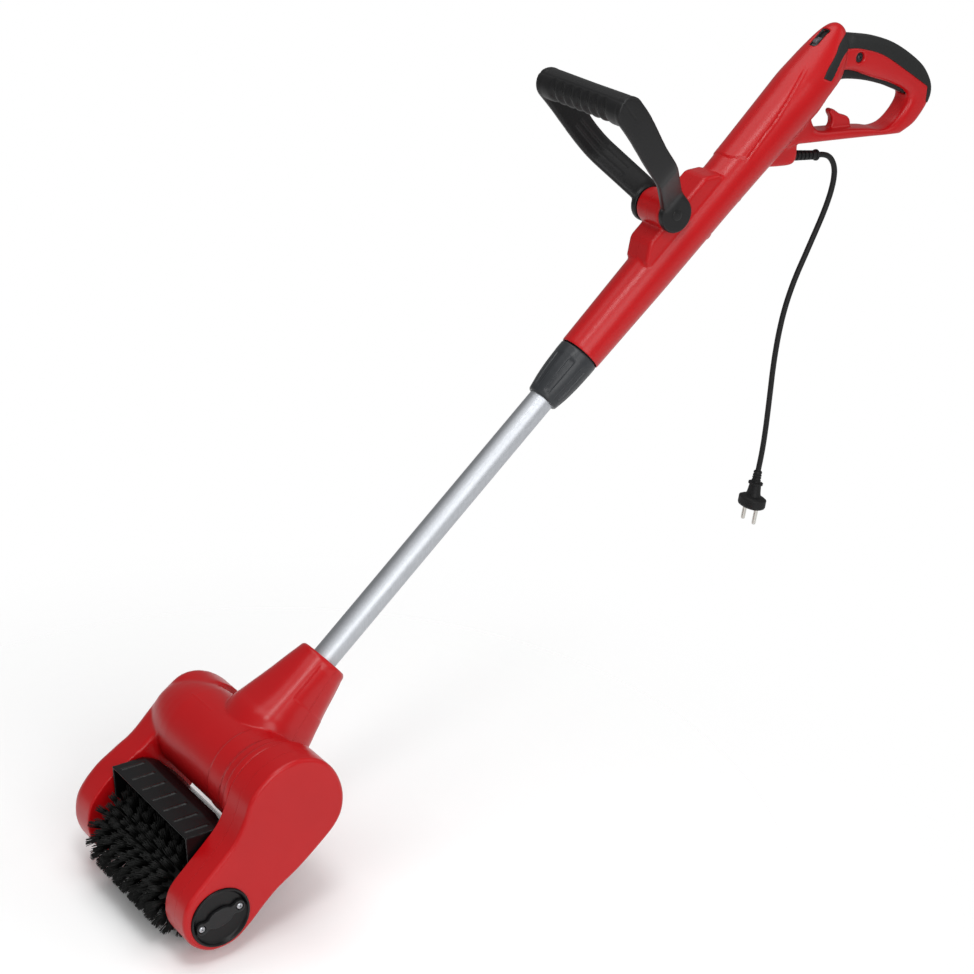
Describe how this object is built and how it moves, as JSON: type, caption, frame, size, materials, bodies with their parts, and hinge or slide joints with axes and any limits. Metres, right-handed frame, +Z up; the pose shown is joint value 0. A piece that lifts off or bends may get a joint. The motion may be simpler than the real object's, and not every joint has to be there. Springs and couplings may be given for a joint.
{
  "type": "electric patio cleaner",
  "caption": "Hand-held electric patio cleaner: telescopic shaft, D-handle with trigger, folding front handle, and a forked belt-driven head that spins a bristle roller",
  "frame": {"origin": "middle of the rear grip, on the machine's middle plane", "axes": "+X along the brush roller towards its driven end, +Y level from the head towards the rear grip, +Z up with the tool held in its working slope of 39.4 degrees, its brush's lowest point 0.7408 m under the origin"},
  "size_m": [0.2502, 1.0558, 0.7959],
  "materials": {
    "red_plastic": "satin",
    "black_plastic": "satin",
    "grey_plastic": "satin",
    "soft_grip": "textured",
    "rubber": "satin",
    "aluminium": "brushed",
    "steel": "satin",
    "copper": "satin",
    "carbon": "matte",
    "bristle": "matte",
    "brass": "polished"
  },
  "bodies": {
    "handle": {"housing_shell_left": "red_plastic", "housing_shell_right": "red_plastic", "soft_grip_left": "soft_grip", "soft_grip_right": "soft_grip", "micro_switch": "black_plastic", "capacitor": "grey_plastic", "housing_screw_1": "steel", "housing_screw_2": "steel", "housing_screw_3": "steel", "housing_screw_4": "steel", "handle_bolt": "black_plastic", "handle_nut": "steel", "tube_collet": "black_plastic", "strain_relief": "rubber", "power_cord": "rubber", "plug_body": "rubber", "plug_pin_left": "brass", "plug_pin_right": "brass"},
    "trigger": {"trigger": "black_plastic"},
    "lock": {"lock_slide": "grey_plastic"},
    "collar": {"twist_collar": "grey_plastic"},
    "front_handle": {"front_handle": "black_plastic"},
    "boom": {"shaft_tube": "aluminium", "tube_guide": "black_plastic", "head_shell_front": "red_plastic", "head_shell_rear": "red_plastic", "head_screw_left": "steel", "head_screw_right": "steel", "drive_arm_case": "red_plastic", "belt_cover": "red_plastic", "arm_screw_1": "steel", "arm_screw_2": "steel", "arm_screw_3": "steel", "axle_cap": "black_plastic", "cap_screw_1": "steel", "cap_screw_2": "steel", "splash_guard": "black_plastic", "guard_screw_left": "steel", "guard_screw_right": "steel", "field_winding": "copper", "brush_bracket": "black_plastic", "carbon_brush_upper": "carbon", "carbon_brush_lower": "carbon", "motor_bearing_far": "steel", "motor_bearing_near": "steel", "axle_bearing_near": "steel", "axle_bearing_far": "steel", "drive_belt": "rubber"},
    "rotor": {"rotor_shaft": "steel", "rotor_core": "steel", "commutator": "copper", "cooling_fan": "black_plastic", "drive_pulley": "steel"},
    "brush": {"brush_axle": "steel", "roller_core": "black_plastic", "driven_pulley": "black_plastic", "bristle_slice_1": "bristle", "bristle_slice_2": "bristle", "bristle_slice_3": "bristle", "bristle_slice_4": "bristle"}
  },
  "joints": [
    {"name": "tube_telescope", "type": "slide", "parent": "handle", "child": "boom", "axis": [0, 0.7727, 0.6347], "range_m": [-0.04, 0.24]},
    {"name": "collar_turn", "type": "hinge", "parent": "handle", "child": "collar", "pos_m": [0, -0.43735, -0.27326], "axis": [0, 0.7727, 0.6347], "range_deg": [0, 90]},
    {"name": "front_handle_tilt", "type": "hinge", "parent": "handle", "child": "front_handle", "pos_m": [0, -0.307, -0.11055], "axis": [1, 0, 0], "range_deg": [-45, 60]},
    {"name": "trigger_pull", "type": "hinge", "parent": "handle", "child": "trigger", "pos_m": [0, 0.03473, -0.03107], "axis": [-1, 0, 0], "range_deg": [0, 4], "stiffness_Nm_per_rad": 1.5, "springref_deg": -2.86},
    {"name": "lock_slide", "type": "slide", "parent": "handle", "child": "lock", "axis": [0, 0.7727, 0.6347], "range_m": [0, 0.01], "stiffness_N_per_m": 100, "springref_m": -0.004},
    {"name": "motor_spin", "type": "hinge", "parent": "boom", "child": "rotor", "pos_m": [0, -0.84579, -0.59841], "axis": [1, 0, 0], "continuous": true},
    {"name": "brush_spin", "type": "hinge", "parent": "boom", "child": "brush", "pos_m": [0, -0.93413, -0.6878], "axis": [1, 0, 0], "continuous": true}
  ],
  "couplings": [
    {"joint": "brush_spin", "follows": "motor_spin", "ratio": 0.33333}
  ]
}
